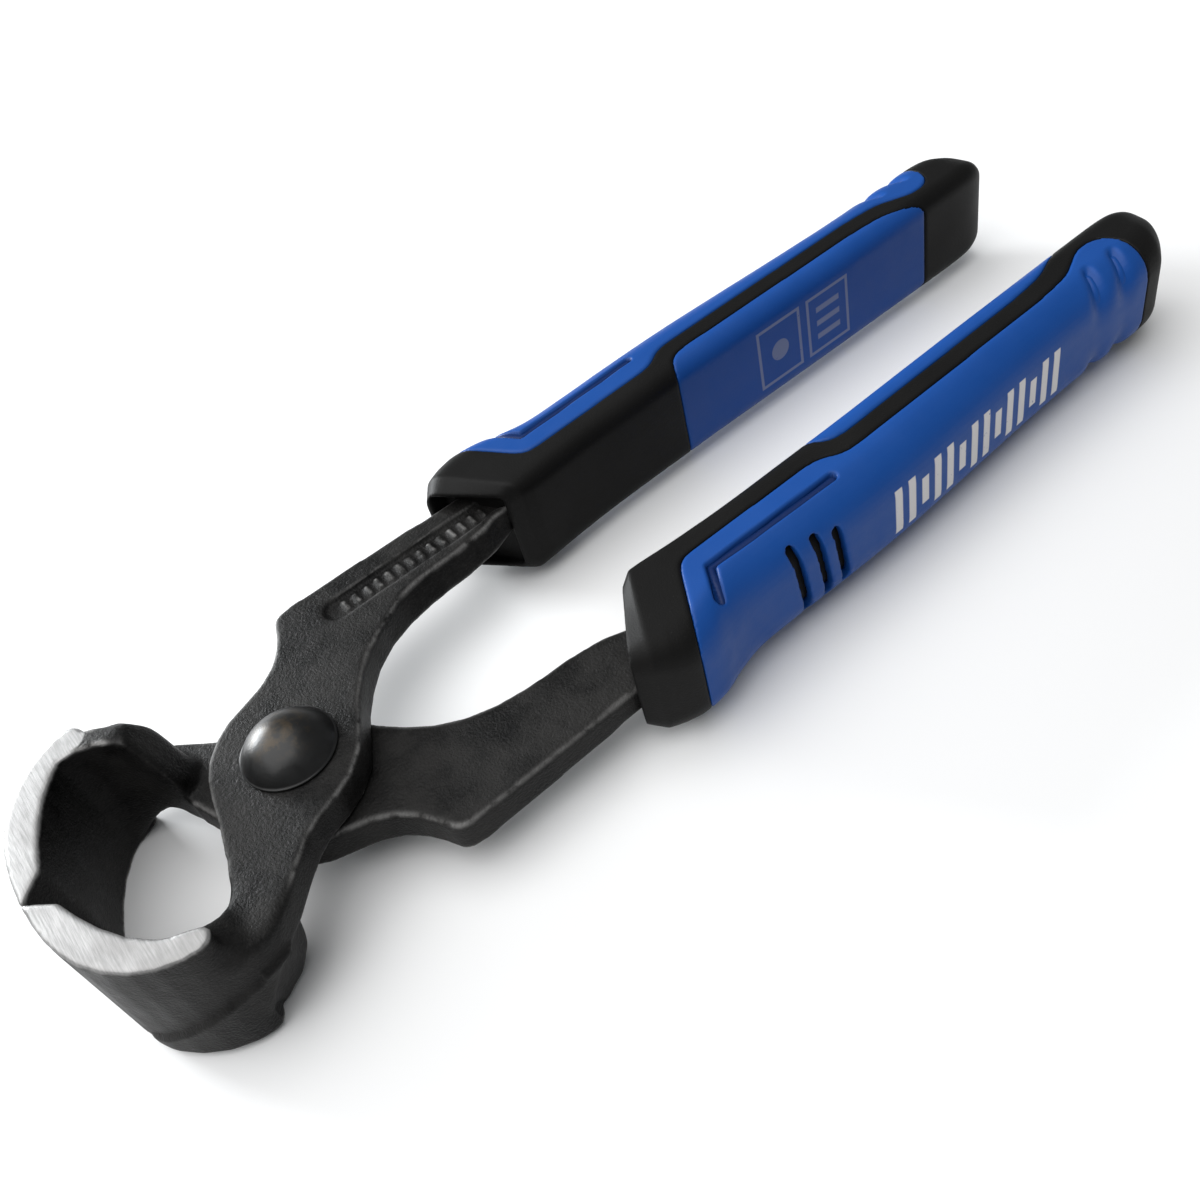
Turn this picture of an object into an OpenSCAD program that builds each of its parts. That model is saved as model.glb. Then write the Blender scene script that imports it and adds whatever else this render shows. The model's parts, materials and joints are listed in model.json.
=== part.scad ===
// End-cutting pincers: two forged arms lapped on one domed rivet, with
// two-component handle grips. All lengths are millimetres.
// +X runs from the jaws to the handle ends and +Z is the rivet axis. The
// outlines are written about the rivet and then moved, so that the origin
// sits under the middle of the closed tool, on the plane of its lower rim.

/* [Jaws] */
// Depth of each jaw, measured along its cutting edge
jaw_depth = 23; // [21:0.5:26]
// Space left between the two cutting edges when the tool is shut
edge_gap = 0.1; // [0.05:0.05:0.4]

/* [Arms] */
// Thickness of each forged arm at the lap
arm_thickness = 5.6; // [5:0.2:6]
// Space between the two lapped faces
lap_gap = 0.1; // [0.05:0.05:0.3]
// Depth of the long pocket in the outer face of each arm
pocket_depth = 0.6; // [0.3:0.1:1.2]
// Number of raised ticks in the pocket
tick_count = 14; // [5:1:14]

/* [Rivet] */
// Diameter of the rivet shank
shank_diameter = 8; // [6:0.5:9]
// Radial clearance of the shank in the turning arm
shank_clearance = 0.05; // [0.02:0.01:0.1]
// Diameter of the two domed heads
head_diameter = 14; // [12:0.5:15]
// Height of the two domed heads
head_height = 4.6; // [3:0.2:5]

/* [Grips] */
// Thickness of each grip, top to bottom
grip_thickness = 19; // [18:0.5:21]
// Thickness of the soft panels
panel_thickness = 1.6; // [1.2:0.1:1.8]
// Depth of the lines pressed into the soft panels
groove_depth = 0.7; // [0.4:0.1:1]

/* [View] */
// Piece to draw, or all of them

/* [Hidden] */

steel = [0.13, 0.13, 0.13];
rivet_black = [0.10, 0.10, 0.10];
hard_black = [0.12, 0.12, 0.11];
soft_blue = [0.10, 0.29, 0.66];

jaw_half = jaw_depth / 2;
lap = lap_gap / 2;
face = lap + arm_thickness;
tip = edge_gap / 2;
grip_half = grip_thickness / 2;
tool_front = -37;
tool_back = 163;
arm_slope = 1.7;
mouth_half = 7.3;

// Outer wall of the jaw, from the cutting edge round to the heel
jaw_outer = [[tool_front, -tip], [-36.9, -3.4], [-36.5, -6.9], [-35.8, -10.1], [-34.6, -13.3],
             [-32.7, -16.4], [-30.4, -19], [-27.6, -21.1], [-24.4, -22.5], [-22.2, -22.9],
             [-20.9, -22.5], [-20.2, -21.4]];
// Inner side of the jaw from the ground end round to the cutting edge; the
// hollow trims the part of it that lies next to the edge
jaw_inner = [[-20.1, -21], [-20.7, -20.1], [-22.4, -19.2], [-24.8, -18.2], [-25.4, -16],
             [-28, -12.6], [-30, -9], [-31.4, -5], [-31.8, -1], [-36, -tip]];

// Hole side of the arm and its shoulder, from the jaw root to the grip
arm_outer = [[-25.2, -17.2], [-22.3, -17.1], [-19.5, -16], [-17.6, -14.5], [-16.4, -12.5],
             [-15.7, -10.4], [-14.2, -7], [-13, -3], [-11.9, 1.5], [-10.9, 4.6], [-9.4, 7.3],
             [-7.2, 9.6], [-4.4, 11.4], [-0.9, 12.6], [2.4, 13.8], [5.1, 15.5], [7.3, 17.9],
             [8.8, 20.5], [9.9, 23.1], [10.8, 24], [12.2, 24.4], [16, 24.5], [27, 24.5],
             [38, 24.4], [50, 24.4]];
// Long tongue of the arm inside the grip
arm_tang = [[60, 24.3], [90, 24], [132, 23.4], [136, 22.6], [137.4, 20.9], [136, 19.2],
            [132, 18.4], [90, 17.8], [62, 17.2], [54, 16.4]];
// Inner side of the arm, from the grip back past the rivet to the heel
arm_inner = [[49, 15.2], [47.4, 14.4], [44, 13], [38, 12.1], [31.5, 11.8], [26, 10.9], [21.6, 9.4],
             [17.8, 7], [14.6, 3.9], [11.9, 0.5], [9.6, -3.5], [7.2, -7.4], [4.2, -10.1],
             [1.1, -11.6], [-2.3, -12.6], [-5.1, -14.2], [-8.4, -17.1], [-11.7, -20.3],
             [-14.7, -22.5], [-17.6, -23.4], [-20.6, -23.4], [-24.4, -22.5]];

// Heel that carries the jaw down past the lap, where it meets the arm
heel_outline = [[-25.3, -21.9], [-20.7, -23.2], [-17.4, -23.1], [-13.8, -20.8], [-10.5, -13.5],
                [-12.7, -10.2], [-15.4, -9.2], [-24.6, -16.6]];
// Shoulder that runs down from the ground rim to the face of the arm
shoulder_outline = [[-24.2, -21.8], [-18, -22.4], [-16.2, -14], [-24.2, -14]];

// Space between the closed jaws, kept open from top to bottom
hollow = [[-37.3, 0.55], [-33.1, -3.3], [-31.9, -7], [-30.4, -10.6], [-28.4, -14.2],
          [-25.9, -17.2], [-24.8, -18.1], [-22.4, -18], [-20, -16.9], [-18, -15.3],
          [-16.5, -13.1], [-15.2, -10.2], [-14.4, -8.2], [-18, -6], [-18, 20], [-37.3, 20]];

// Cross-sections of a grip, from the slanted mouth to the rounded end: inner
// point, outer point, change of half thickness, inner and outer corner radius
sections = [[[49.1, 14], [40.3, 25.8], -1.4, 2, 3.2],
            [[51.2, 13], [42.4, 28.3], 0, 2.5, 4.2],
            [[53.2, 12.9], [44.7, 29.7], 0, 2.8, 4.8],
            [[56, 13.1], [47.8, 30.7], 0, 2.9, 5.4],
            [[59, 13.3], [51.9, 30.7], 0, 3, 6],
            [[62.4, 13.5], [56, 29.5], 0, 3, 6.4],
            [[66.4, 13.7], [61.2, 28.5], 0, 3, 6.5],
            [[72, 13.8], [68.6, 28.5], 0, 3, 6.5],
            [[80, 13.8], [79, 28.8], 0, 3, 6.5],
            [[92, 13.8], [92, 28.8], 0, 3, 6.5],
            [[106, 13.6], [106, 28.1], 0, 3, 6.3],
            [[120, 13.4], [120, 27.3], 0, 3, 6.1],
            [[134, 13.3], [134, 26.8], 0, 3, 6],
            [[147, 13.2], [147, 27], 0, 3, 6],
            [[155.8, 13.3], [154.8, 26.7], 0, 3, 5.8],
            [[159.6, 13.8], [157.8, 25.2], -0.5, 2.8, 5],
            [[161.8, 14.9], [160.4, 22.8], -1.6, 2.4, 3.6],
            [[tool_back, 16.7], [162.4, 19.8], -3.4, 1.3, 1.5]];
last_full_section = 14;

// Areas of the grip covered by soft panels, seen from above
outer_zone = [[56.4, 18.2], [82.2, 18.7], [84.4, 19.5], [86.2, 20.7], [88.6, 21.3], [132, 20.8],
              [139.4, 20.1], [143.2, 18.3], [145.8, 17.2], [148.2, 17.1], [150.2, 17.8],
              [151.6, 19.6], [152, 22], [152, 36], [45.2, 36]];
inner_zone = [[84.4, 10], [84.4, 12.8], [85.4, 15.2], [87, 17.2], [89.4, 18], [130, 17.4],
              [137, 16.8], [141.2, 15.2], [144.2, 14.1], [145.6, 12.4], [145.6, 10]];

// Moves a shape drawn about the rivet to its place in the finished tool
module place() {
    translate([-(tool_front + tool_back) / 2, 0, jaw_half]) children();
}

// Turns an upper piece over into the matching lower piece
module turn_over() {
    rotate([180, 0, 0]) children();
}

// Plane that thins the outer face of the arm from the hub to the grip
module face_slope() {
    translate([14, -60, face]) rotate([0, arm_slope, 0]) cube([160, 120, 20]);
}

// Block under the lap, sloped towards the pivot and drafted on its outer side
module heel() {
    difference() {
        translate([0, 0, -jaw_half]) linear_extrude(jaw_half + lap + 1) polygon(heel_outline);
        translate([-10.3, -13.3, lap]) rotate([0, 0, 30.4]) rotate([0, 28, 0])
            translate([0, -30, -40]) cube([60, 60, 60]);
        translate([-13.6, -21.1, lap]) rotate([0, 0, -63]) rotate([0, 17, 0])
            translate([0, -30, -40]) cube([60, 60, 60]);
    }
}

// Wedge between the end of the ground rim and the outer face of the arm
module shoulder() {
    difference() {
        translate([0, 0, lap + 1.3]) linear_extrude(arm_thickness + 3) polygon(shoulder_outline);
        translate([-17.4, 0, face]) rotate([0, 42, 0]) translate([-30, -60, 0]) cube([60, 120, 40]);
    }
}

// Long round-ended pocket sunk into the sloping outer face, with a row of
// plain raised ticks standing on its floor
module pocket() {
    translate([18.4, 18, face]) rotate([0, arm_slope, 1]) translate([0, 0, -0.25 - pocket_depth]) {
        difference() {
            union() {
                cylinder(h = 3, d = 4.4, $fn = 32);
                translate([0, -2.2, 0]) cube([31, 4.4, 3]);
            }
            for (i = [0 : tick_count - 1])
                translate([1.2 + i * 2, -1.1, -1])
                    cube([0.6, 2.2, 1 + pocket_depth * 0.7]);
        }
    }
}

// One forged half: jaw, heel, lapped hub, shoulder and the tongue for the grip
module forging() {
    difference() {
        union() {
            translate([0, 0, -jaw_half]) linear_extrude(jaw_depth) polygon(concat(jaw_outer, jaw_inner));
            translate([0, 0, lap]) linear_extrude(arm_thickness)
                polygon(concat(arm_outer, arm_tang, arm_inner));
            heel();
            shoulder();
        }
        translate([0, 0, -jaw_depth]) linear_extrude(2 * jaw_depth) polygon(hollow);
        face_slope();
        pocket();
        translate([0, 0, -jaw_depth])
            cylinder(h = 2 * jaw_depth, r = shank_diameter / 2 + shank_clearance, $fn = 64);
    }
}

// Points of one rounded corner of a section
function corner(centre, radius, start) =
    [for (k = [0 : 4]) centre + radius * [cos(start + k * 22.5), sin(start + k * 22.5)]];

// Round-cornered outline of a section: first number across the grip, second up
function section_outline(s, inset) =
    let (width = norm(s[1] - s[0]),
         r_in = max(s[3] - inset, 0.6),
         r_out = max(s[4] - inset, 0.6),
         near = inset + r_in,
         far = width - inset - r_out,
         top = grip_half + s[2] - inset)
    concat(corner([far, top - r_out], r_out, 0), corner([near, top - r_in], r_in, 90),
           corner([near, r_in - top], r_in, 180), corner([far, r_out - top], r_out, 270));

// The same points stood upright on the line from the inner to the outer point
function ring(s, inset) =
    let (along = (s[1] - s[0]) / norm(s[1] - s[0]))
    [for (p = section_outline(s, inset)) [s[0][0] + along[0] * p[0], s[0][1] + along[1] * p[0], p[1]]];

// Solid shape of a grip up to one of its sections, shrunk by an inset
module grip_body(last, inset) {
    n = 20;
    points = [for (i = [0 : last]) each ring(sections[i], inset)];
    mouth = [for (k = [0 : n - 1]) k];
    end = [for (k = [n - 1 : -1 : 0]) last * n + k];
    lower = [for (i = [0 : last - 1]) for (k = [0 : n - 1])
        [i * n + k, (i + 1) * n + k, (i + 1) * n + (k + 1) % n]];
    upper = [for (i = [0 : last - 1]) for (k = [0 : n - 1])
        [i * n + k, (i + 1) * n + (k + 1) % n, i * n + (k + 1) % n]];
    polyhedron(points, concat([mouth, end], lower, upper));
}

module whole_grip() {
    grip_body(len(sections) - 1, 0);
}

// The part of the hard core that lies under the soft panels
module panel_seat() {
    grip_body(last_full_section, panel_thickness);
}

// A panel area as a block through the full thickness of the grip
module zone(outline) {
    translate([0, 0, -grip_thickness]) linear_extrude(2 * grip_thickness) polygon(outline);
}

// Room inside the grip for the tongue of the arm, open at the mouth
module grip_socket() {
    hull() {
        translate([0, 0, -mouth_half]) linear_extrude(2 * mouth_half)
            polygon([[36.4, 21.4], [43.6, 11.4], [48.4, 15], [49.6, 15.2], [44, 25.6], [41.1, 25]]);
        translate([0, 0, lap]) linear_extrude(arm_thickness)
            polygon([[54, 16], [58, 17], [58, 24.4], [54, 24.6]]);
    }
    translate([0, 0, lap]) linear_extrude(arm_thickness) polygon(concat([[50, 24.4]], arm_tang, [[49, 15.3]]));
}

// Hard core of a grip with seats for the two soft panels
module grip_core() {
    difference() {
        union() {
            difference() {
                whole_grip();
                zone(outer_zone);
                zone(inner_zone);
            }
            panel_seat();
        }
        grip_socket();
    }
}

// A straight line pressed into a panel, from a point in a given direction
module pressed_line(start, direction, reach) {
    translate([start[0], start[1], 0]) rotate([0, 0, direction])
        translate([-0.5, -0.5, 0]) cube([reach + 1, 1, 3]);
}

// Angled line on both faces, three slots and two finger dips in the outer panel
module panel_lines() {
    for (side = [0, 1])
        mirror([0, 0, side]) translate([0, 0, grip_half - groove_depth]) {
            pressed_line([57.4, 21.4], 1.5, 23.6);
            pressed_line([57.4, 21.4], 122, 3.4);
        }
    for (i = [0 : 2])
        translate([70 + i * 4, 24, 0]) rotate([0, 7, 0])
            translate([-0.85, 0, i - 7.4]) cube([1.7, 10, 14.8 - 2 * i]);
    for (i = [0 : 1])
        translate([142 + i * 6, 28.6, -7]) cylinder(h = 14, r = 2.2, $fn = 32);
}

// Soft panel wrapped round the outer side of a grip
module outer_panel() {
    difference() {
        intersection() {
            whole_grip();
            zone(outer_zone);
        }
        panel_seat();
        panel_lines();
    }
}

// Soft panel wrapped round the inner side of a grip
module inner_panel() {
    difference() {
        intersection() {
            whole_grip();
            zone(inner_zone);
        }
        panel_seat();
    }
}

// One domed rivet head standing on its flat face
module rivet_head() {
    dome = (pow(head_diameter / 2, 2) + pow(head_height, 2)) / (2 * head_height);
    intersection() {
        translate([0, 0, head_height - dome]) sphere(dome, $fn = 64);
        cylinder(h = head_height + 1, d = head_diameter + 1, $fn = 64);
    }
}

module upper_arm() {
    color(steel) place() forging();
}

module lower_arm() {
    color(steel) place() turn_over() forging();
}

module pivot_rivet() {
    color(rivet_black) place() {
        translate([0, 0, face + lap]) rivet_head();
        turn_over() translate([0, 0, face]) rivet_head();
        translate([0, 0, -face - 0.1])
            cylinder(h = 2 * face + lap + 0.2, d = shank_diameter, $fn = 64);
    }
}

module upper_grip_core() {
    color(hard_black) place() grip_core();
}

module upper_outer_panel() {
    color(soft_blue) place() outer_panel();
}

module upper_inner_panel() {
    color(soft_blue) place() inner_panel();
}

module lower_grip_core() {
    color(hard_black) place() turn_over() grip_core();
}

module lower_outer_panel() {
    color(soft_blue) place() turn_over() outer_panel();
}

module lower_inner_panel() {
    color(soft_blue) place() turn_over() inner_panel();
}

upper_arm();
lower_arm();
pivot_rivet();
upper_grip_core();
upper_outer_panel();
upper_inner_panel();
lower_grip_core();
lower_outer_panel();
lower_inner_panel();
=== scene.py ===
import json
import math

import bmesh
import bpy
import numpy as np
from mathutils import Euler, Matrix, Vector


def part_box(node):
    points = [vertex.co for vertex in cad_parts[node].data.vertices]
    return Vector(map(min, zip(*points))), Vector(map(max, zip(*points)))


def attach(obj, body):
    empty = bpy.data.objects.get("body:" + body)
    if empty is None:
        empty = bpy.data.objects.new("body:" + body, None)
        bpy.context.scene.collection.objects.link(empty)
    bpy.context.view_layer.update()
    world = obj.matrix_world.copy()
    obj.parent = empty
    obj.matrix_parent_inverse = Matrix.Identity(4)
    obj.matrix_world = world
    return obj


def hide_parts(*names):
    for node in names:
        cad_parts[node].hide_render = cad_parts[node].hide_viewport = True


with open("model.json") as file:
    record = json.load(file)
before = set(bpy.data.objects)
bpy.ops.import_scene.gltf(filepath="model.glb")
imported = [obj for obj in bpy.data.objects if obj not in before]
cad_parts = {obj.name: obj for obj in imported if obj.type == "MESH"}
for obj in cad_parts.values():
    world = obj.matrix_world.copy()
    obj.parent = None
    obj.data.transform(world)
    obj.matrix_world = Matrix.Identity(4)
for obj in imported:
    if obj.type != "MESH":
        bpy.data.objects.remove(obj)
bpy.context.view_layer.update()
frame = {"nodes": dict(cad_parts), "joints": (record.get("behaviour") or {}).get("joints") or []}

# The shapes below are drawn in millimetres about the rivet, with +X towards the handle ends
# and +Z up. They show the upper half of the tool. The lower half is the same, turned over.
MM = 0.001
PIVOT = Vector(frame["joints"][0]["pos_m"])
TURNED = Matrix.Rotation(math.pi, 4, "X")


def span(node, axis):
    """Lowest and highest place of a CAD node along an axis, in millimetres from the rivet."""
    low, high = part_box(node)
    return (low[axis] - PIVOT[axis]) / MM, (high[axis] - PIVOT[axis]) / MM


JAW_HALF = span("upper_arm", 2)[1]
TOOL_FRONT = span("upper_arm", 0)[0]
TOOL_BACK = span("upper_grip_core", 0)[1]
GRIP_HALF = span("upper_grip_core", 2)[1]
RIVET_TOP = span("pivot_rivet", 2)[1]
RIVET_RADIUS = span("pivot_rivet", 0)[1]
FACE = 5.65  # height of the arm's outer face round the rivet
PANEL = 1.6  # wall of a soft panel
VOXEL = 0.28  # face size of the even mesh on the plastic pieces
ARM_VOXEL = 0.33  # face size of the even mesh on the arm

# Cross-sections of a grip, from the slanted mouth to the rounded end: inner point, outer point,
# change of half thickness, inner and outer corner radius.
SECTIONS = [
    ((49.1, 14.0), (40.3, 25.8), -1.4, 2.0, 3.2),
    ((51.2, 13.0), (42.4, 28.3), 0.0, 2.5, 4.2),
    ((53.2, 12.9), (44.7, 29.7), 0.0, 2.8, 4.8),
    ((56.0, 13.1), (47.8, 30.7), 0.0, 2.9, 5.4),
    ((59.0, 13.3), (51.9, 30.7), 0.0, 3.0, 6.0),
    ((62.4, 13.5), (56.0, 29.5), 0.0, 3.0, 6.4),
    ((66.4, 13.7), (61.2, 28.5), 0.0, 3.0, 6.5),
    ((72.0, 13.8), (68.6, 28.5), 0.0, 3.0, 6.5),
    ((80.0, 13.8), (79.0, 28.8), 0.0, 3.0, 6.5),
    ((92.0, 13.8), (92.0, 28.8), 0.0, 3.0, 6.5),
    ((106.0, 13.6), (106.0, 28.1), 0.0, 3.0, 6.3),
    ((120.0, 13.4), (120.0, 27.3), 0.0, 3.0, 6.1),
    ((134.0, 13.3), (134.0, 26.8), 0.0, 3.0, 6.0),
    ((147.0, 13.2), (147.0, 27.0), 0.0, 3.0, 6.0),
    ((155.8, 13.3), (154.8, 26.7), 0.0, 3.0, 5.8),
    ((159.6, 13.8), (157.8, 25.2), -0.5, 2.8, 5.0),
    ((161.8, 14.9), (160.4, 22.8), -1.6, 2.4, 3.6),
    ((TOOL_BACK, 16.7), (162.4, 19.8), -3.4, 1.3, 1.5),
]
SHARP_SPANS = 2  # straight spans at the mouth, before the smooth run starts
SEAT_SPANS = 14  # spans of the seat that the panels lie on

# Areas of a grip that the soft panels cover, seen from above.
OUTER_ZONE = [
    (56.4, 18.2), (82.2, 18.7), (84.4, 19.5), (86.2, 20.7), (88.6, 21.3), (132.0, 20.8),
    (139.4, 20.1), (143.2, 18.3), (145.8, 17.2), (148.2, 17.1), (150.2, 17.8), (151.6, 19.6),
    (152.0, 22.0), (152.0, 36.0), (45.2, 36.0),
]
INNER_ZONE = [
    (84.4, 10.0), (84.4, 12.8), (85.4, 15.2), (87.0, 17.2), (89.4, 18.0), (130.0, 17.4),
    (137.0, 16.8), (141.2, 15.2), (144.2, 14.1), (145.6, 12.4), (145.6, 10.0),
]
# Line pressed into the outer panel, seen from above: its corners and its depth.
LINE = [(82.0, 23.2), (58.6, 22.5), (55.8, 27.2)]
LINE_DEPTH = 1.2
# Slots in the side of the outer panel: place along the grip and half length, then the radius of
# their ends, their lean, and how far across the tool they are cut.
SLOTS = [(70.0, 6.6), (74.2, 6.0), (77.8, 5.0)]
SLOT_RADIUS = 0.85
SLOT_LEAN = 0.12
SLOT_FROM, SLOT_TO = 24.5, 34.0
# Finger dips near the end of the outer panel: places along the grip, depth, and how far across
# the tool they start to lean and widen.
DIPS = (142.4, 148.8)
DIP_DEPTH = 0.95
DIP_SHOULDER = 21.2
# Centre of the rounded end of the ground rim.
RIM_END = (-22.4, -20.8)
# Edge of the pocketed arm that faces the other arm, seen from above, and how far it leans.
ARM_INNER = [
    (17.8, 7.0), (21.6, 9.4), (26.0, 10.9), (31.5, 11.8), (38.0, 12.1), (44.0, 13.0), (49.0, 15.2),
]
ARM_LEAN = 1.8
# Start and slope of the pocket's middle line on the arm, seen from above.
POCKET_START = (18.4, 18.0)
POCKET_SLOPE = 0.017
# Room round the tongue in the mouth of a grip, seen from above, and its half height.
MOUTH_ROOM = [(36.4, 21.4), (43.6, 11.4), (48.4, 15.0), (49.6, 15.2), (44.0, 25.6), (41.1, 25.0)]
MOUTH_HALF = 7.3


# ---------------------------------------------------------------- mesh tools

def new_object(name, points, faces):
    mesh = bpy.data.meshes.new(name)
    mesh.from_pydata([tuple(p) for p in points], [], faces)
    mesh.validate()
    mesh.update()
    made = bpy.data.objects.new(name, mesh)
    bpy.context.scene.collection.objects.link(made)
    return made


def tube_faces(rings, around):
    """Faces of a closed tube made of rings that have the same number of points."""
    faces = [list(range(around))[::-1]]
    for i in range(rings - 1):
        for k in range(around):
            a, b = i * around + k, i * around + (k + 1) % around
            faces.append((a, b, b + around, a + around))
    faces.append([(rings - 1) * around + k for k in range(around)])
    return faces


def outward(obj):
    """Makes every face of a closed mesh look outwards."""
    shape = bmesh.new()
    shape.from_mesh(obj.data)
    bmesh.ops.recalc_face_normals(shape, faces=shape.faces)
    shape.to_mesh(obj.data)
    shape.free()
    return obj


def prism(name, outline, low, high):
    points = [(x, y, low) for x, y in outline] + [(x, y, high) for x, y in outline]
    return outward(new_object(name, points, tube_faces(2, len(outline))))


def softened(outline, rounds=2):
    """Cuts the corners of a closed outline again and again, so that it ends up rounded."""
    points = np.array(outline, float)
    for _ in range(rounds):
        following = np.roll(points, -1, axis=0)
        step = following - points
        cut = np.minimum(0.25, 1.2 / np.maximum(np.linalg.norm(step, axis=1), 1e-6))[:, None]
        points = np.stack([points + step * cut, following - step * cut], axis=1).reshape(-1, 2)
    return [tuple(p) for p in points]


def drop(*objects):
    for obj in objects:
        mesh = obj.data
        bpy.data.objects.remove(obj)
        bpy.data.meshes.remove(mesh)


def evaluated(obj):
    """Puts the result of an object's modifiers into its mesh."""
    bpy.context.view_layer.update()
    graph = bpy.context.evaluated_depsgraph_get()
    mesh = bpy.data.meshes.new_from_object(obj.evaluated_get(graph))
    old = obj.data
    obj.modifiers.clear()
    obj.data = mesh
    bpy.data.meshes.remove(old)
    return obj


def combine(obj, operation, *others):
    """Cuts, joins or crosses an object with others, which are used up."""
    for other in others:
        modifier = obj.modifiers.new("combine", "BOOLEAN")
        modifier.operation = operation
        modifier.object = other
        modifier.solver = "MANIFOLD"
        evaluated(obj)
    drop(*others)
    return obj


def even_mesh(obj, size):
    """Gives a closed mesh an even grid of faces that follows its surface."""
    modifier = obj.modifiers.new("even", "REMESH")
    modifier.mode = "VOXEL"
    modifier.voxel_size = size
    modifier.adaptivity = 0
    return evaluated(obj)


def points_of(mesh):
    flat = np.empty(len(mesh.vertices) * 3, np.float32)
    mesh.vertices.foreach_get("co", flat)
    return flat.reshape(-1, 3).astype(float)


def set_points(mesh, points):
    mesh.vertices.foreach_set("co", points.astype(np.float32).ravel())
    mesh.update()


def edges_of(mesh):
    flat = np.empty(len(mesh.edges) * 2, np.int32)
    mesh.edges.foreach_get("vertices", flat)
    return flat.reshape(-1, 2)


def neighbour_mean(points, edges):
    """Mean place of the points joined to each point."""
    count = np.bincount(edges.ravel(), minlength=len(points))
    total = np.empty_like(points)
    for axis in range(3):
        total[:, axis] = np.bincount(edges[:, 0], points[edges[:, 1], axis], len(points))
        total[:, axis] += np.bincount(edges[:, 1], points[edges[:, 0], axis], len(points))
    return total / np.maximum(count, 1)[:, None]


def relax(obj, rounds, weight=1.0):
    """Eases every point towards its neighbours. weight may hold one number for each point."""
    points = points_of(obj.data)
    edges = edges_of(obj.data)
    share = 0.5 * (weight[:, None] if isinstance(weight, np.ndarray) else weight)
    for _ in range(rounds):
        points += share * (neighbour_mean(points, edges) - points)
    set_points(obj.data, points)
    return obj


def normals_of(mesh):
    flat = np.empty(len(mesh.vertices) * 3, np.float32)
    mesh.vertices.foreach_get("normal", flat)
    return flat.reshape(-1, 3).astype(float)


def bulge(obj, rounds=4):
    """How far each point stands proud of the surface round it, in millimetres."""
    points, edges = points_of(obj.data), edges_of(obj.data)
    proud = np.einsum("ij,ij->i", points - neighbour_mean(points, edges), normals_of(obj.data))
    for _ in range(rounds):
        proud = 0.5 * proud + 0.5 * neighbour_mean(np.repeat(proud[:, None], 3, 1), edges)[:, 0]
    return proud


def keep_number(obj, name, values):
    attribute = obj.data.attributes.new(name, "FLOAT", "POINT")
    attribute.data.foreach_set("value", values.astype(np.float32))


def smoothstep(low, high, value):
    t = np.clip((value - low) / (high - low), 0, 1)
    return t * t * (3 - 2 * t)


def finish_piece(obj, name, node, body, material, lower):
    """Copies a shape drawn in millimetres to its place in the row frame and joins it to its body."""
    mesh = obj.data.copy()
    mesh.name = name
    turn = TURNED if lower else Matrix.Identity(4)
    mesh.transform(Matrix.Translation(PIVOT) @ Matrix.Scale(MM, 4) @ turn)
    mesh.shade_smooth()
    mesh.materials.clear()
    mesh.materials.append(material)
    piece = bpy.data.objects.new(name, mesh)
    bpy.context.scene.collection.objects.link(piece)
    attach(piece, body)
    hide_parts(node)
    return piece


# ---------------------------------------------------------------- materials

class Graph:
    """A material's node tree, built by short calls."""

    def __init__(self, name):
        self.material = bpy.data.materials.new(name)
        self.material.use_nodes = True
        self.tree = self.material.node_tree
        self.tree.nodes.clear()
        self.out = self.tree.nodes.new("ShaderNodeOutputMaterial")
        self.shader = self.tree.nodes.new("ShaderNodeBsdfPrincipled")
        self.tree.links.new(self.shader.outputs[0], self.out.inputs[0])

    def put(self, socket, value):
        if isinstance(value, bpy.types.NodeSocket):
            self.tree.links.new(value, socket)
        else:
            socket.default_value = value

    def node(self, kind, settings=None, **inputs):
        made = self.tree.nodes.new(kind)
        for key, value in (settings or {}).items():
            setattr(made, key, value)
        for key, value in inputs.items():
            self.put(made.inputs[key.replace("_", " ")], value)
        return made

    def set(self, **inputs):
        for key, value in inputs.items():
            self.put(self.shader.inputs[key.replace("_", " ")], value)

    def place(self):
        return self.node("ShaderNodeTexCoord").outputs["Object"]

    def stretched(self, scale, turn=(0, 0, 0)):
        mapping = self.node("ShaderNodeMapping", Vector=self.place(), Rotation=turn, Scale=scale)
        return mapping.outputs[0]

    def noise(self, scale, detail=3.0, rough=0.5, vector=None, distortion=0.0):
        made = self.node("ShaderNodeTexNoise", Scale=scale, Detail=detail, Roughness=rough,
                         Distortion=distortion, Vector=vector or self.place())
        return made.outputs["Fac"]

    def math(self, kind, a, b=0.0, c=0.0):
        made = self.tree.nodes.new("ShaderNodeMath")
        made.operation = kind
        for socket, value in zip(made.inputs, (a, b, c)):
            self.put(socket, value)
        return made.outputs[0]

    def ramp(self, value, low, high, low_out=0.0, high_out=1.0):
        made = self.node("ShaderNodeMapRange", {"interpolation_type": "SMOOTHSTEP"})
        for socket, given in zip(made.inputs, (value, low, high, low_out, high_out)):
            self.put(socket, given)
        return made.outputs[0]

    def mix(self, share, a, b):
        made = self.node("ShaderNodeMix", {"data_type": "RGBA"})
        self.put(made.inputs[0], share)
        self.put(made.inputs[6], a)
        self.put(made.inputs[7], b)
        return made.outputs[2]

    def bump(self, height, distance, strength=1.0, under=None):
        made = self.node("ShaderNodeBump", Height=height, Distance=distance, Strength=strength)
        if under is not None:
            self.put(made.inputs["Normal"], under)
        return made.outputs[0]

    def kept(self, name):
        made = self.node("ShaderNodeAttribute", {"attribute_name": name})
        return made.outputs["Fac"]

    def axis(self, name):
        return self.node("ShaderNodeSeparateXYZ", Vector=self.place()).outputs[name]


def grey(value, warmth=0.0):
    return (value * (1 + warmth), value, value * (1 - warmth), 1)


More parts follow.
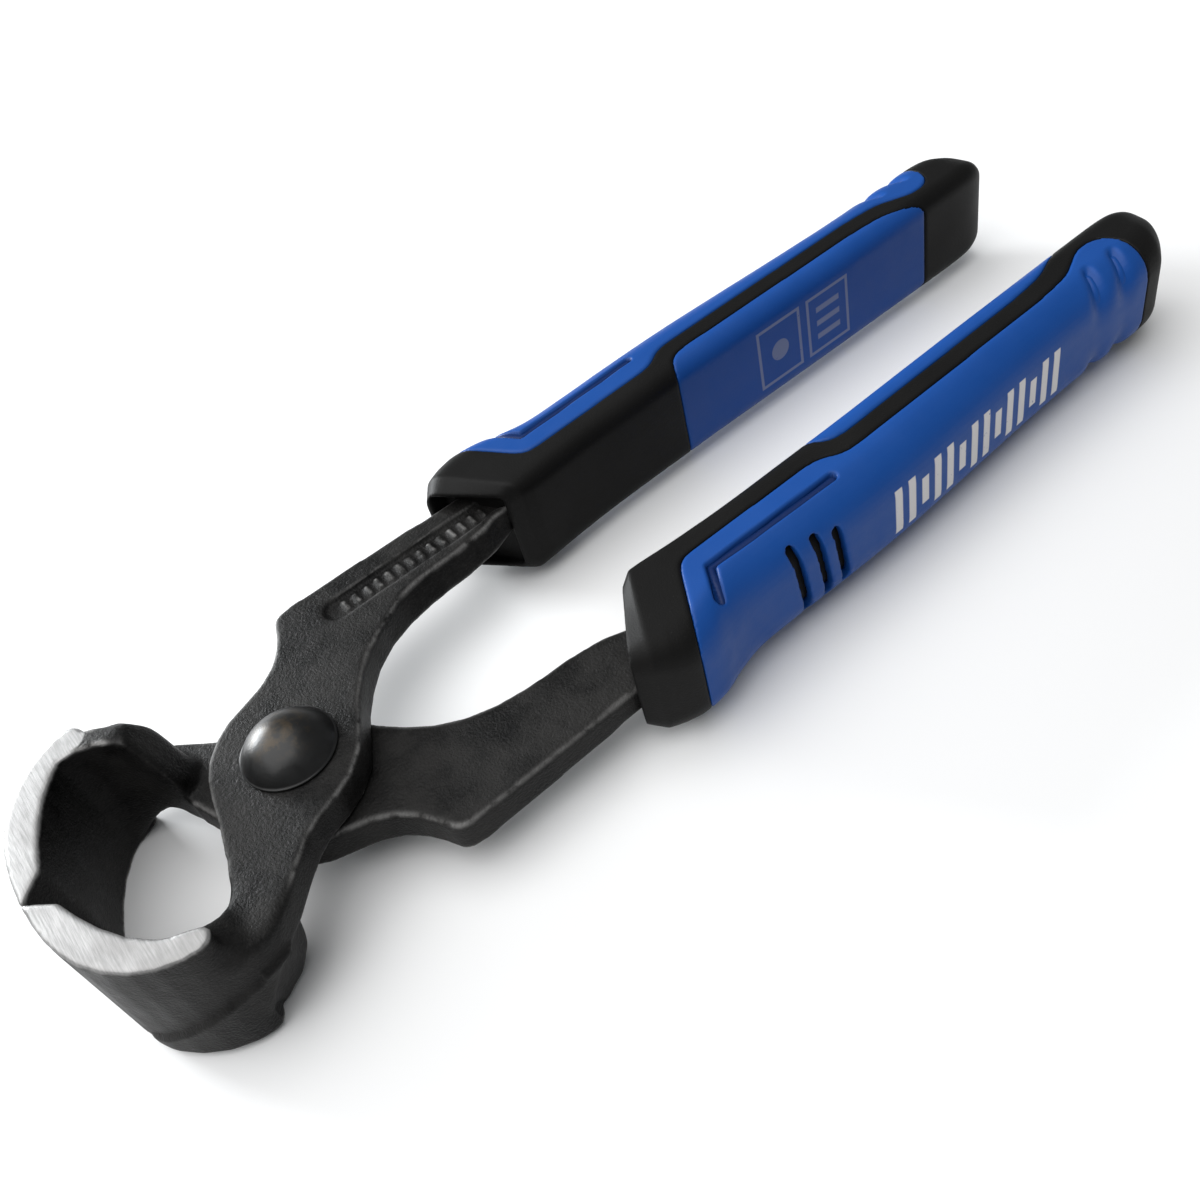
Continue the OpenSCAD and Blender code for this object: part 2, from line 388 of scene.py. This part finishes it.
def forged_steel():
    """Black oxide over forged grain, lighter on its edges from real wear and from a painted
    highlight, with bright ground rims.
    """
    g = Graph("forged_black_steel")
    blotches = g.noise(140, 4, 0.6)
    grain = g.noise(2600, 3, 0.6)
    base = g.mix(g.ramp(blotches, 0.3, 0.7), grey(0.003), grey(0.017, 0.04))
    base = g.mix(g.ramp(grain, 0.45, 0.75, 0, 0.35), base, grey(0.026, 0.03))
    # Convex edges are painted lighter grey: real edge wear, and also a painted highlight standing in
    # for the sheen along the rounded edges.
    rubbed = g.math("MULTIPLY", g.kept("wear_and_edge_highlight"), g.ramp(g.noise(420, 4, 0.65), 0.30, 0.56))
    base = g.mix(g.math("MULTIPLY", rubbed, 0.85), base, grey(0.26, 0.02))
    rust = g.ramp(g.noise(95, 5, 0.7, distortion=0.4), 0.62, 0.74, 0, 0.55)
    base = g.mix(g.math("MULTIPLY", rust, g.kept("wear_and_edge_highlight")), base, (0.055, 0.030, 0.014, 1))
    lines = g.noise(1.0, 4, 0.65, g.stretched((5200, 330, 500), (0, 0, math.radians(-33))))
    cloudy = g.noise(170, 3, 0.55)
    bright = g.mix(g.ramp(lines, 0.3, 0.7), grey(0.25, 0.005), grey(0.37, 0.01))
    bright = g.mix(g.ramp(cloudy, 0.35, 0.7, 0, 0.5), bright, grey(0.19, 0.02))
    ground = g.kept("ground")
    g.set(Base_Color=g.mix(ground, base, bright))
    g.set(Metallic=g.math("MULTIPLY_ADD", ground, 0.40, 0.25))
    dull = g.ramp(blotches, 0.3, 0.7, 0.40, 0.56)
    shine = g.ramp(lines, 0.2, 0.8, 0.34, 0.50)
    g.set(Roughness=g.math("ADD", g.math("MULTIPLY", dull, g.math("SUBTRACT", 1.0, ground)),
                           g.math("MULTIPLY", shine, ground)))
    g.set(Specular_IOR_Level=0.14)
    pitted = g.bump(grain, 0.00016, 0.9)
    pitted = g.bump(g.noise(800, 2, 0.5), 0.00016, 0.55, pitted)
    scored = g.bump(lines, 0.00004, 0.6)
    normal = g.node("ShaderNodeMix", {"data_type": "VECTOR"})
    g.put(normal.inputs[0], ground)
    g.put(normal.inputs[4], pitted)
    g.put(normal.inputs[5], scored)
    g.set(Normal=normal.outputs[1])
    return g.material


def rivet_steel():
    """Smooth black oxide with a brownish rubbed crown."""
    g = Graph("rivet_black_steel")
    smudges = g.noise(260, 4, 0.65, distortion=0.5)
    base = g.mix(smudges, grey(0.005), grey(0.014))
    crown = g.ramp(g.axis("Z"), PIVOT.z + (RIVET_TOP - 2.2) * MM, PIVOT.z + RIVET_TOP * MM)
    rubbed = g.math("MULTIPLY", crown, g.ramp(g.noise(520, 4, 0.7), 0.42, 0.68))
    base = g.mix(g.math("MULTIPLY", rubbed, 0.55), base, (0.060, 0.040, 0.018, 1))
    g.set(Base_Color=base, Metallic=0.35, Roughness=g.ramp(smudges, 0.3, 0.75, 0.30, 0.42))
    g.set(Normal=g.bump(g.noise(700, 3, 0.55), 0.00008, 0.4))
    return g.material


def hard_plastic():
    """Black plastic with a fine spark-eroded grain."""
    g = Graph("black_core_plastic")
    grain = g.noise(3800, 2, 0.55)
    patches = g.noise(70, 3, 0.5)
    base = g.mix(patches, grey(0.0035, 0.02), grey(0.0070, 0.04))
    dust = g.ramp(g.noise(5200, 1, 0.5), 0.72, 0.80, 0, 0.35)
    g.set(Base_Color=g.mix(dust, base, grey(0.06)))
    g.set(Roughness=g.ramp(patches, 0.3, 0.7, 0.44, 0.54), Specular_IOR_Level=0.1)
    g.set(Normal=g.bump(grain, 0.00006, 0.7))
    return g.material


def soft_plastic(name, print_mask):
    """Blue semi-matte soft plastic, with painted shade in its pressed line. print_mask, if given,
    builds where it is printed on.
    """
    g = Graph(name)
    clouds = g.noise(60, 3, 0.5)
    grain = g.noise(3000, 2, 0.5)
    base = g.mix(clouds, (0.0036, 0.048, 0.225, 1), (0.0060, 0.061, 0.270, 1))
    # Painted shade: the pressed line is coloured dark navy, standing in for the shadow in its
    # groove.
    base = g.mix(g.math("MULTIPLY", g.kept("shaded"), 0.95), base, (0.0020, 0.014, 0.075, 1))
    rough = g.ramp(g.noise(240, 3, 0.6), 0.3, 0.7, 0.40, 0.50)
    if print_mask is not None:
        mask, colour, cover = print_mask(g)
        worn = g.ramp(g.noise(1500, 4, 0.7), 0.26, 0.36)
        mask = g.math("MULTIPLY", g.math("MULTIPLY", mask, worn), cover)
        base = g.mix(mask, base, colour)
    g.set(Base_Color=base, Roughness=rough, Specular_IOR_Level=0.2)
    g.set(Normal=g.bump(grain, 0.00003, 0.5))
    return g.material


def band(g, value, low, high, soft=0.12):
    """1 where a value lies between low and high, with a soft step at each side."""
    rise = g.ramp(value, low - soft, low + soft)
    fall = g.ramp(value, high - soft, high + soft, 1, 0)
    return g.math("MULTIPLY", rise, fall)


def from_rivet(g):
    """Distances from the rivet in millimetres, along the tool, across it and up."""
    made = []
    for name, at in zip("XYZ", PIVOT):
        made.append(g.math("MULTIPLY", g.math("SUBTRACT", g.axis(name), at), 1 / MM))
    return made


def bar_row(g):
    """A plain row of upright bars, every third one short."""
    along, _, up = from_rivet(g)
    first, last, pitch = 88.4, 130.4, 3.0
    count = g.math("DIVIDE", g.math("SUBTRACT", along, first), pitch)
    inside = g.math("FRACT", count)
    bar = band(g, inside, 0.14, 0.66, 0.04)
    third = g.math("FRACT", g.math("DIVIDE", g.math("FLOOR", count), 3.0))
    short = g.ramp(third, 0.5, 0.6)
    height = g.math("SUBTRACT", 4.3, g.math("MULTIPLY", short, 1.7))
    tall = g.ramp(g.math("SUBTRACT", height, g.math("ABSOLUTE", up)), -0.1, 0.1)
    reach = band(g, along, first, last)
    return g.math("MULTIPLY", g.math("MULTIPLY", bar, tall), reach), grey(0.62, 0.03), 0.95


def frame_marks(g):
    """Two plain square outlines with a solid disc in one and three lines in the other."""
    along, _, up = from_rivet(g)
    disc_frame, line_frame = 107.4, 119.2
    mask = None
    for centre in (disc_frame, line_frame):
        dx = g.math("ABSOLUTE", g.math("SUBTRACT", along, centre))
        dz = g.math("ABSOLUTE", up)
        edge = g.math("MAXIMUM", dx, g.math("SUBTRACT", dz, 0.9))
        outline = band(g, edge, 4.5, 5.1, 0.1)
        mask = outline if mask is None else g.math("MAXIMUM", mask, outline)
    dx = g.math("SUBTRACT", along, disc_frame)
    radius = g.math("SQRT", g.math("ADD", g.math("MULTIPLY", dx, dx), g.math("MULTIPLY", up, up)))
    disc = g.ramp(radius, 1.9, 2.1, 1, 0)
    lines = band(g, g.math("FRACT", g.math("MULTIPLY_ADD", up, 0.36, 0.5)), 0.3, 0.7, 0.05)
    beside = band(g, along, line_frame - 2.8, line_frame + 2.8)
    room = g.math("MULTIPLY", beside, band(g, up, -4.1, 4.1))
    mask = g.math("MAXIMUM", mask, g.math("MAXIMUM", disc, g.math("MULTIPLY", lines, room)))
    return mask, grey(0.36, 0.0), 0.42


# ---------------------------------------------------------------- grips

def corner(centre, radius, start, steps=9):
    turns = [math.radians(start + 90 * k / steps) for k in range(steps + 1)]
    return [(centre[0] + radius * math.cos(t), centre[1] + radius * math.sin(t)) for t in turns]


def section_ring(section, inset):
    """Points of one cross-section of the grip, stood up on the line between its two ends."""
    inner, outer, rise, r_in, r_out = section
    inner, outer = np.array(inner), np.array(outer)
    width = np.linalg.norm(outer - inner)
    along = (outer - inner) / width
    r_in, r_out = max(r_in - inset, 0.6), max(r_out - inset, 0.6)
    near, far = inset + r_in, width - inset - r_out
    top = GRIP_HALF + rise - inset
    flat = corner((far, top - r_out), r_out, 0)
    flat += corner((near, top - r_in), r_in, 90)
    flat += corner((near, r_in - top), r_in, 180)
    flat += corner((far, r_out - top), r_out, 270)
    return [(inner[0] + along[0] * a, inner[1] + along[1] * a, b) for a, b in flat]


def section_at(place):
    """Section at a place along the list of sections, with a smooth run between them."""
    table = [np.array([*s[0], *s[1], *s[2:]]) for s in SECTIONS]
    i = min(int(place), len(table) - 2)
    t = place - i
    a, b = table[i], table[i + 1]
    if i < SHARP_SPANS:
        made = a + (b - a) * t
    else:
        before = table[i - 1] if i > SHARP_SPANS else 2 * a - b
        after = table[i + 2] if i + 2 < len(table) else 2 * b - a
        slope_a, slope_b = (b - before) / 2, (after - a) / 2
        made = (a * (2 * t**3 - 3 * t**2 + 1) + slope_a * (t**3 - 2 * t**2 + t)
                + b * (3 * t**2 - 2 * t**3) + slope_b * (t**3 - t**2))
    return tuple(made[:2]), tuple(made[2:4]), made[4], made[5], made[6]


def grip_solid(name, spans, inset):
    places = np.linspace(0, spans, spans * 8 + 1)
    points = []
    for place in places:
        points += section_ring(section_at(float(place)), inset)
    return outward(new_object(name, points, tube_faces(len(places), len(points) // len(places))))


def whole_grip():
    return grip_solid("whole", len(SECTIONS) - 1, 0)


def panel_seat():
    return grip_solid("seat", SEAT_SPANS, PANEL)


def zone(outline):
    return prism("zone", softened(outline), -3 * GRIP_HALF, 3 * GRIP_HALF)


def side_slot(x, low, high, lean):
    """A narrow round-ended slot that runs over the outer side of the grip, leaning with height."""
    outline = corner((0, high), SLOT_RADIUS, 0) + corner((0, high), SLOT_RADIUS, 90)
    outline += corner((0, low), SLOT_RADIUS, 180) + corner((0, low), SLOT_RADIUS, 270)
    points = [(x + a + b * lean, SLOT_FROM, b) for a, b in outline]
    points += [(x + a + b * lean, SLOT_TO, b) for a, b in outline]
    return outward(new_object("slot", points, tube_faces(2, len(outline))))


def press_lines(obj):
    """An angled line pressed into both faces of the outer panel, with rounded ends, and painted
    shade kept for its groove.
    """
    points, facing = points_of(obj.data), normals_of(obj.data)
    gap = np.full(len(points), 9.0)
    for start, end in zip(LINE[:-1], LINE[1:]):
        a, run = np.array(start), np.array(end) - np.array(start)
        share = np.clip((points[:, :2] - a) @ run / (run @ run), 0, 1)
        nearest = a + share[:, None] * run
        gap = np.minimum(gap, np.linalg.norm(points[:, :2] - nearest, axis=1))
    on_face = smoothstep(4.5, 6.0, abs(points[:, 2])) * smoothstep(0.2, 0.5, abs(facing[:, 2]))
    depth = LINE_DEPTH * smoothstep(0.90, 0.35, gap) * on_face
    set_points(obj.data, points - facing * depth[:, None])
    # Painted shade: marks the groove of the pressed line, to be coloured darker where its shadow
    # falls.
    keep_number(obj, "shaded", smoothstep(0.95, 0.45, gap) * on_face)
    return obj


def press_dips(obj):
    """Two soft finger dips near the end, deepest on the outer shoulder and fading down the side."""
    points = points_of(obj.data)
    x, y, z = points.T
    depth = np.zeros(len(points))
    beyond = np.maximum(y - DIP_SHOULDER, 0)
    for start in DIPS:
        line = start - 0.42 * beyond
        width = 0.75 + 0.16 * beyond + 0.05 * np.maximum(9 - abs(z), 0)
        across = np.exp(-((x - line) / width) ** 2)
        reach = smoothstep(20.6, 22.4, y) * (0.15 + 0.85 * smoothstep(1.0, 7.0, abs(z)))
        depth += DIP_DEPTH * across * reach
    set_points(obj.data, points - normals_of(obj.data) * depth[:, None])
    return obj


def outer_panel_shape():
    shape = combine(whole_grip(), "INTERSECT", zone(OUTER_ZONE))
    combine(shape, "DIFFERENCE", panel_seat())
    for x, reach in SLOTS:
        combine(shape, "DIFFERENCE", side_slot(x, -reach, reach, SLOT_LEAN))
    relax(even_mesh(shape, VOXEL), 2)
    press_lines(shape)
    return press_dips(shape)


def inner_panel_shape():
    shape = combine(whole_grip(), "INTERSECT", zone(INNER_ZONE))
    combine(shape, "DIFFERENCE", panel_seat())
    return relax(even_mesh(shape, VOXEL), 2)


def core_shape():
    shape = combine(whole_grip(), "DIFFERENCE", zone(OUTER_ZONE), zone(INNER_ZONE))
    combine(shape, "UNION", panel_seat())
    room = prism("room", MOUTH_ROOM, -MOUTH_HALF, MOUTH_HALF)
    combine(shape, "DIFFERENCE", room)
    return relax(even_mesh(shape, VOXEL), 2)


# ---------------------------------------------------------------- arms and rivet

def raise_foot(obj):
    """Raises the foot of the heel on the jaw wall, below a line that sinks to the tip."""
    points, facing = points_of(obj.data), normals_of(obj.data)
    x, y, z = points.T
    line = 1.0 - 0.9 * np.maximum(-19.0 - x, 0) ** 0.25 - 0.032 * np.maximum(-19.0 - x, 0) ** 2
    below = smoothstep(line + 0.5, line - 0.5, z) * smoothstep(-JAW_HALF, -JAW_HALF + 1.6, z)
    wall = smoothstep(0.45, 0.75, -facing[:, 1] - 0.5 * facing[:, 0])
    reach = smoothstep(-36.4, -33.0, x) * smoothstep(-12.0, -15.0, x) * smoothstep(-11.5, -13.5, y)
    set_points(obj.data, points + facing * (0.75 * below * wall * reach)[:, None])
    return obj


def slope_inner_side(obj):
    """Leans the inner side of the arm, which is wider at the lap than on its outer face."""
    points = points_of(obj.data)
    x, y, z = points.T
    edge = np.interp(x, *zip(*ARM_INNER))
    near = smoothstep(edge + 3.4, edge + 0.4, y)
    reach = smoothstep(20.0, 30.0, x) * smoothstep(50.0, 46.0, x)
    points[:, 1] += ARM_LEAN * near * reach * np.clip(z / FACE, 0, 1)
    set_points(obj.data, points)
    return obj


def arm_shape():
    """The forged arm: the CAD piece with an even mesh, its edges eased and its convex edges found
    for real wear and a painted edge highlight.
    """
    source = frame["nodes"]["upper_arm"]
    shape = bpy.data.objects.new("arm", source.data.copy())
    bpy.context.scene.collection.objects.link(shape)
    shape.data.transform(Matrix.Scale(1 / MM, 4) @ Matrix.Translation(-PIVOT))
    shape.data.materials.clear()
    even_mesh(shape, ARM_VOXEL)
    x, y, z = points_of(shape.data).T
    rim = smoothstep(JAW_HALF - 1.2, JAW_HALF - 0.4, abs(z)) * smoothstep(-17.0, -19.0, x)
    edge = smoothstep(TOOL_FRONT + 2.0, TOOL_FRONT + 1.0, x)
    middle = POCKET_START[1] + POCKET_SLOPE * (x - POCKET_START[0])
    pocket = smoothstep(15.0, 16.0, x) * smoothstep(3.4, 2.8, abs(y - middle))
    pocket *= smoothstep(3.5, 4.2, z) * smoothstep(51.0, 50.0, x)
    crisp = np.clip(rim + edge + pocket, 0, 1)
    relax(shape, 9, 1 - 0.93 * crisp)
    x, y, z = points_of(shape.data).T
    dish = smoothstep(-25.0, -23.0, x) * smoothstep(-9.0, -12.0, x) * smoothstep(3.0, 5.0, z)
    dish *= smoothstep(JAW_HALF - 0.05, JAW_HALF - 1.6, z) * smoothstep(-11.0, -13.0, y)
    slope = smoothstep(-19.0, -17.0, x) * smoothstep(-7.0, -9.0, x) * smoothstep(0.5, -1.5, z)
    slope *= smoothstep(-8.0, -10.0, y)
    relax(shape, 40, np.maximum(dish, slope))
    relax(shape, 2, 1 - 0.8 * np.clip(rim + edge, 0, 1))
    # Convex edges: real edge wear, and a painted highlight along them.
    keep_number(shape, "wear_and_edge_highlight", smoothstep(0.010, 0.036, bulge(shape)))
    slope_inner_side(raise_foot(shape))
    x, y, z = points_of(shape.data).T
    ground = smoothstep(JAW_HALF - 0.30, JAW_HALF - 0.16, abs(z)) * smoothstep(-17.0, -18.0, x)
    end = np.hypot(x - RIM_END[0], y - RIM_END[1])
    ground *= np.maximum(smoothstep(RIM_END[0], RIM_END[0] - 0.4, x), smoothstep(2.6, 2.3, end))
    keep_number(shape, "ground", ground)
    return shape


def rivet_shape():
    """Shank with two domed heads whose rims are slightly rounded, turned about the rivet axis."""
    rise = RIVET_TOP - FACE - 0.1
    dome = (RIVET_RADIUS**2 + rise**2) / (2 * rise)
    edge = math.asin(RIVET_RADIUS / dome)
    profile = [(dome * math.sin(edge * k / 24), RIVET_TOP - dome * (1 - math.cos(edge * k / 24)))
               for k in range(1, 24)]
    profile += [(RIVET_RADIUS - 0.02, FACE + 0.42), (RIVET_RADIUS, FACE + 0.22)]
    profile += [(RIVET_RADIUS - 0.12, FACE + 0.1), (4.0, FACE + 0.1)]
    profile += [(r, -z) for r, z in reversed(profile)]
    around = 96
    points = []
    for r, z in profile:
        points += [(r * math.cos(a), r * math.sin(a), z)
                   for a in np.linspace(0, math.tau, around, endpoint=False)]
    return outward(new_object("rivet", points, tube_faces(len(profile), around)))


# ---------------------------------------------------------------- assembly

def build_tool():
    steel = forged_steel()
    black = hard_plastic()
    blue = soft_plastic("blue_soft_plastic", None)
    barred = soft_plastic("blue_soft_plastic_bars", bar_row)
    marked = soft_plastic("blue_soft_plastic_marks", frame_marks)
    arm, core = arm_shape(), core_shape()
    outer, inner = outer_panel_shape(), inner_panel_shape()
    rivet = rivet_shape()
    for side, lower in (("upper", False), ("lower", True)):
        body = side + "_half"
        parts = [
            (arm, "arm", "forged_steel", steel),
            (core, "grip_core", "core_plastic", black),
            (outer, "outer_panel", "soft_panel", barred),
            (inner, "inner_panel", "soft_panel", blue if lower else marked),
        ]
        for shape, part, slot, material in parts:
            node = side + "_" + part
            finish_piece(shape, node + "_look", node, body, material, lower)
    finish_piece(rivet, "pivot_rivet_look", "pivot_rivet", "lower_half",
                 rivet_steel(), False)
    drop(arm, core, outer, inner, rivet)


def build_stage():
    """Plain pale floor under the tool and an even sky."""
    size = 3.0
    floor = new_object("floor", [(-size, -size, 0), (size, -size, 0), (size, size, 0),
                                 (-size, size, 0)], [(0, 1, 2, 3)])
    g = Graph("pale_floor")
    g.set(Base_Color=g.mix(g.noise(8, 2), grey(0.80), grey(0.82)), Roughness=0.75)
    floor.data.materials.append(g.material)
    world = bpy.data.worlds.new("studio")
    bpy.context.scene.world = world
    world.use_nodes = True
    sky = world.node_tree.nodes["Background"]
    sky.inputs[0].default_value = (0.95, 0.98, 1.0, 1)
    sky.inputs[1].default_value = 0.27


def lamp(name, place, aim, size, power, colour=(1, 1, 1)):
    data = bpy.data.lights.new(name, "AREA")
    data.shape = "RECTANGLE"
    data.size, data.size_y = size
    data.energy = power
    data.color = colour
    made = bpy.data.objects.new(name, data)
    bpy.context.scene.collection.objects.link(made)
    made.location = place
    made.rotation_euler = (Vector(aim) - Vector(place)).to_track_quat("-Z", "Y").to_euler()


def build_lights():
    lamp("overhead_softbox", (-0.30, 0.10, 0.80), (0, 0, 0), (1.2, 1.2), 12.5)
    lamp("low_window", (-0.30, 0.70, 0.20), PIVOT, (0.30, 0.26), 8, (0.95, 0.98, 1.0))


def build_camera():
    """The camera stands to the front left of the jaws and looks down at the tool."""
    data = bpy.data.cameras.new("camera")
    data.lens, data.sensor_width = 35.89, 36
    data.clip_start = 0.01
    camera = bpy.data.objects.new("camera", data)
    bpy.context.scene.collection.objects.link(camera)
    camera.location = PIVOT + Vector((-7.64, -117.0, 128.6)) * MM
    camera.rotation_euler = Euler([math.radians(a) for a in (42.50, 11.53, -39.39)])
    bpy.context.scene.camera = camera


build_tool()
build_stage()
build_lights()
build_camera()
bpy.context.scene.view_settings.view_transform = "Standard"
